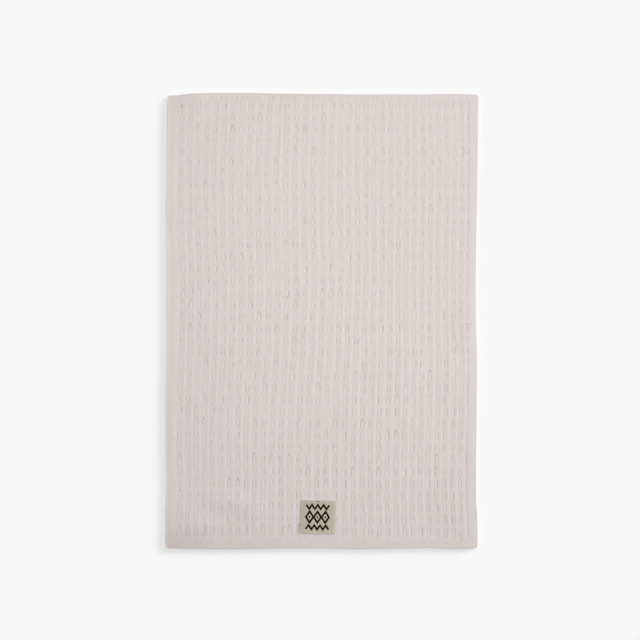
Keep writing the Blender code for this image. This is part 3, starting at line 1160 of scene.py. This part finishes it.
def canvas_material():
    """Khaki plain-weave canvas, paler where the attribute of that name says."""
    others = {"Specular IOR Level": 0.3}
    material, shader = plain_material("khaki_canvas", LABEL_COLOR, 0.9, others)
    tree = material.node_tree
    place = stored(tree, "weave_place").outputs["Vector"]
    slubs = [streak_noise(tree, place, *settings) for settings in SLUBS]
    total = combine(tree, "ADD", *slubs)
    for extra in (stored(tree, "tone").outputs["Fac"], 1.0):
        total = combine(tree, "ADD", total, extra)
    pale = stored(tree, "pale").outputs["Fac"]
    gain = [b - a for a, b in zip(LABEL_COLOR, LABEL_PALE_COLOR)]
    color = vector_math(tree, "MULTIPLY_ADD", {0: pale, 1: gain, 2: LABEL_COLOR})
    tint = vector_math(tree, "SCALE", {0: color.outputs[0], "Scale": total})
    normal = yarn_bump(tree, place, CANVAS_PITCH, CANVAS_HEIGHT)
    set_inputs(shader, {"Base Color": tint.outputs[0], "Normal": normal})
    return material


def thread_material(name, color, shine=0.25):
    """Twisted sewing thread: slanting plies, a little lighter and darker."""
    others = {"Specular IOR Level": shine, "Sheen Weight": 0.4 * shine}
    material, shader = plain_material(name, color, 0.75, others)
    tree = material.node_tree
    spot = node(tree, "ShaderNodeTexCoord", {}).outputs["Object"]
    inputs = {"Vector": spot, "Scale": PLY_SCALE / PLY_PITCH, "Distortion": 0.6}
    plies = node(tree, "ShaderNodeTexWave", inputs, bands_direction="DIAGONAL").outputs["Fac"]
    inputs = {"Value": plies, "To Min": PLY_TONES[0], "To Max": PLY_TONES[1]}
    level = node(tree, "ShaderNodeMapRange", inputs).outputs["Result"]
    tint = vector_math(tree, "SCALE", {0: color, "Scale": level})
    bump = node(tree, "ShaderNodeBump", {"Height": plies, "Strength": 0.6, "Distance": PLY_HEIGHT})
    set_inputs(shader, {"Base Color": tint.outputs[0], "Normal": bump.outputs["Normal"]})
    return material


# ---------------------------------------------------------------- stage, light and camera

MM_PER_PIXEL = 1.434 * MM
PICTURE = 640
CAMERA_OVER = (-2.99 * MM, 1.38 * MM)
LENS = 100.0
SENSOR = 36.0

# The floor's mesh is fine as far as FLOOR_NEAR, and coarser from there to FLOOR_FAR.
WHITE = (1.0, 1.0, 1.0, 1.0)
FLOOR_GREY = 0.86
FLOOR_LIGHTEST = 0.97
FLOOR_LEVEL = 0.939
FLOOR_DROP = 0.2 * MM
FLOOR_NEAR = 1.5
FLOOR_FAR = 12.0
FLOOR_LINES_NEAR = 61
FLOOR_LINES_FAR = 16
BACKDROP_HEIGHT = 6.0
BACKDROP_SIDES = 96

# Each lamp's share of the light that falls on a level face at the brightest place.
KEY_PLACE = (0.20, 0.20, 1.50)
KEY_SIZE = 0.80
KEY_CELLS = 6
KEY_SHARE = 0.67
CONTACT_SHARE = 0.7
LOW_SHARE = 0.172
LOW_HEIGHT = 8.6
SUN_FROM = 36.0
LOW_SPREAD = 11.0
FILL_SHARE = 0.194
FILL_HEIGHT = 24.0
FILL_SPREAD = 30.0
WORLD_SHARE = 0.14
FLOOR_KEY_SHARE = 1.0 - LOW_SHARE - WORLD_SHARE
FULL_LIGHT = FLOOR_LEVEL * math.pi / FLOOR_GREY
SUN_AWAY = 3.0


def key_light(x, y):
    """How strongly the key lamp lights the floor at x, y, for a radiant power of 1."""
    lamp = Vector(KEY_PLACE)
    facing = -lamp.normalized()
    side = facing.cross(Vector((0, 1, 0))).normalized()
    up = side.cross(facing)
    total = np.zeros(np.shape(x))
    steps = (np.arange(KEY_CELLS) + 0.5) / KEY_CELLS - 0.5
    for i in steps:
        for j in steps:
            spot = lamp + side * i * KEY_SIZE + up * j * KEY_SIZE
            dx, dy, dz = x - spot.x, y - spot.y, -spot.z
            far = np.sqrt(dx**2 + dy**2 + dz**2)
            leaving = np.clip((dx * facing.x + dy * facing.y + dz * facing.z) / far, 0, 1)
            total = total + leaving * (-dz / far) / far**2
    return total / len(steps) ** 2 / math.pi


def make_floor(peak):
    """A flat floor whose grey evens out the key lamp's falloff."""
    near = np.linspace(-FLOOR_NEAR, FLOOR_NEAR, FLOOR_LINES_NEAR)
    far = np.geomspace(FLOOR_NEAR, FLOOR_FAR, FLOOR_LINES_FAR)[1:]
    places = np.concatenate([-far[::-1], near, far])
    x, y = np.meshgrid(places, places)
    faces = grid_faces(len(places), len(places), 0, up=True)
    others = {"Specular IOR Level": 0.0, "Emission Color": WHITE}
    material, shader = plain_material("paper_floor", (FLOOR_GREY,) * 3, 0.9, others)
    floor = make_object("floor", rows_of(x, y, -FLOOR_DROP), faces, material, smooth=False)
    light = FLOOR_KEY_SHARE * key_light(x, y) / peak + LOW_SHARE + WORLD_SHARE
    grey = FLOOR_GREY / light
    keep_values(floor, "grey", np.minimum(grey, FLOOR_LIGHTEST))
    keep_values(floor, "glow", FLOOR_LEVEL * (1.0 - np.minimum(FLOOR_LIGHTEST / grey, 1.0)))
    for value, target in (("grey", "Base Color"), ("glow", "Emission Strength")):
        set_inputs(shader, {target: stored(material.node_tree, value).outputs["Fac"]})
    return floor


def make_backdrop():
    """A ring of plain light round the floor: the camera sees it, but it lights nothing."""
    turns = np.arange(BACKDROP_SIDES) * math.tau / BACKDROP_SIDES
    x, y = FLOOR_FAR * np.cos(turns), FLOOR_FAR * np.sin(turns)
    points = np.concatenate([rows_of(x, y, BACKDROP_HEIGHT), rows_of(x, y, -FLOOR_DROP)])
    high = list(range(BACKDROP_SIDES))
    faces = strip_faces(high, [BACKDROP_SIDES + n for n in high])
    others = {
        "Specular IOR Level": 0.0,
        "Emission Color": WHITE,
        "Emission Strength": FLOOR_LEVEL,
    }
    material, _ = plain_material("paper_backdrop", (0.0, 0.0, 0.0), 1.0, others)
    backdrop = make_object("backdrop", points, faces, material, smooth=False)
    backdrop.visible_shadow = backdrop.visible_diffuse = backdrop.visible_glossy = False


def add_light(name, kind, place, lit=None, shaded_by=None, **settings):
    """A lamp aimed at the origin. It lights all, or lit alone; all casts shadows, or shaded_by."""
    light = bpy.data.lights.new(name, kind)
    for key, value in settings.items():
        setattr(light, key, value)
    lamp = bpy.data.objects.new(name, light)
    lamp.location = place
    lamp.rotation_euler = Vector(place).to_track_quat("Z", "Y").to_euler()
    lamp.visible_camera = False
    bpy.context.scene.collection.objects.link(lamp)
    for setting, linked in (("receiver_collection", lit), ("blocker_collection", shaded_by)):
        if linked:
            group = bpy.data.collections.new(f"{name}_{setting}")
            for piece in linked:
                group.objects.link(piece)
            setattr(lamp.light_linking, setting, group)


def add_sun(name, share, height, spread, lit):
    """A soft sun that lights a level face with a share of the full light."""
    up, turn = math.radians(height), math.radians(SUN_FROM)
    level = SUN_AWAY * math.cos(up)
    way = (level * math.cos(turn), level * math.sin(turn), SUN_AWAY * math.sin(up))
    strength = FULL_LIGHT * share / math.sin(up)
    add_light(name, "SUN", way, lit=lit, angle=math.radians(spread), energy=strength)


def light_stage(peak, floor, pieces):
    """A plain pale sky, the key lamp in three shares, and two suns."""
    world = bpy.data.worlds.new("studio")
    world.use_nodes = True
    inputs = {"Color": WHITE, "Strength": FULL_LIGHT * WORLD_SHARE / math.pi}
    set_inputs(world.node_tree.nodes["Background"], inputs)
    bpy.context.scene.world = world

    # On the floor, only a part of the key's light is shaded by the towel's edge.
    for name, lit, shaded_by, share in (
        ("key", pieces, None, KEY_SHARE),
        ("floor_key", [floor], [floor], FLOOR_KEY_SHARE * (1.0 - CONTACT_SHARE)),
        ("contact_key", [floor], None, FLOOR_KEY_SHARE * CONTACT_SHARE),
    ):
        energy = FULL_LIGHT * share / peak
        add_light(name, "AREA", KEY_PLACE, lit, shaded_by, size=KEY_SIZE, energy=energy)
    add_sun("low", LOW_SHARE, LOW_HEIGHT, LOW_SPREAD, [floor])
    add_sun("fill", FILL_SHARE, FILL_HEIGHT, FILL_SPREAD, pieces)

    # Lamps that light some pieces alone come out too bright with the light tree.
    bpy.context.scene.cycles.use_light_tree = False


def make_camera():
    """A camera straight above, as far off as the picture's width in millimetres asks."""
    data = bpy.data.cameras.new("camera")
    data.lens = LENS
    data.sensor_width = SENSOR
    camera = bpy.data.objects.new("camera", data)
    height = PICTURE * MM_PER_PIXEL * LENS / SENSOR
    camera.location = (*CAMERA_OVER, height + FIELD_THICKNESS)
    bpy.context.scene.collection.objects.link(camera)
    bpy.context.scene.camera = camera


bpy.context.scene.view_settings.view_transform = "Standard"
make_camera()
below_key = np.linspace(0.0, 0.3, 7)
key_peak = float(np.max(key_light(*np.meshgrid(below_key, below_key))))
floor = make_floor(key_peak)
make_backdrop()

cotton = cloth_material()
canvas = canvas_material()
cloth = make_cloth(cotton)
label = make_label(canvas)
dark_thread = thread_material("dark_thread", MOTIF_COLOR, shine=0.05)
motif = make_motif(dark_thread)
hem_thread = thread_material("cotton_thread", HEM_THREAD_COLOR)
hem_sewing = stitches("hem_stitching", hem_stitches(), THREAD_RADIUS, hem_thread)
label_thread = thread_material("khaki_thread", LABEL_THREAD_COLOR)
label_sewing = stitches("label_stitching", label_stitches(), THREAD_RADIUS, label_thread)
dark_ends = [label_points(*np.array(DARK_STITCH).T)]
dark_stitch = stitches("label_dark_stitch", dark_ends, DARK_STITCH_RADIUS, dark_thread)

pieces = (cloth, label, motif, hem_sewing, label_sewing, dark_stitch)
light_stage(key_peak, floor, pieces)
for piece in pieces:
    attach(piece, "root")
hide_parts("towel")
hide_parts("label")
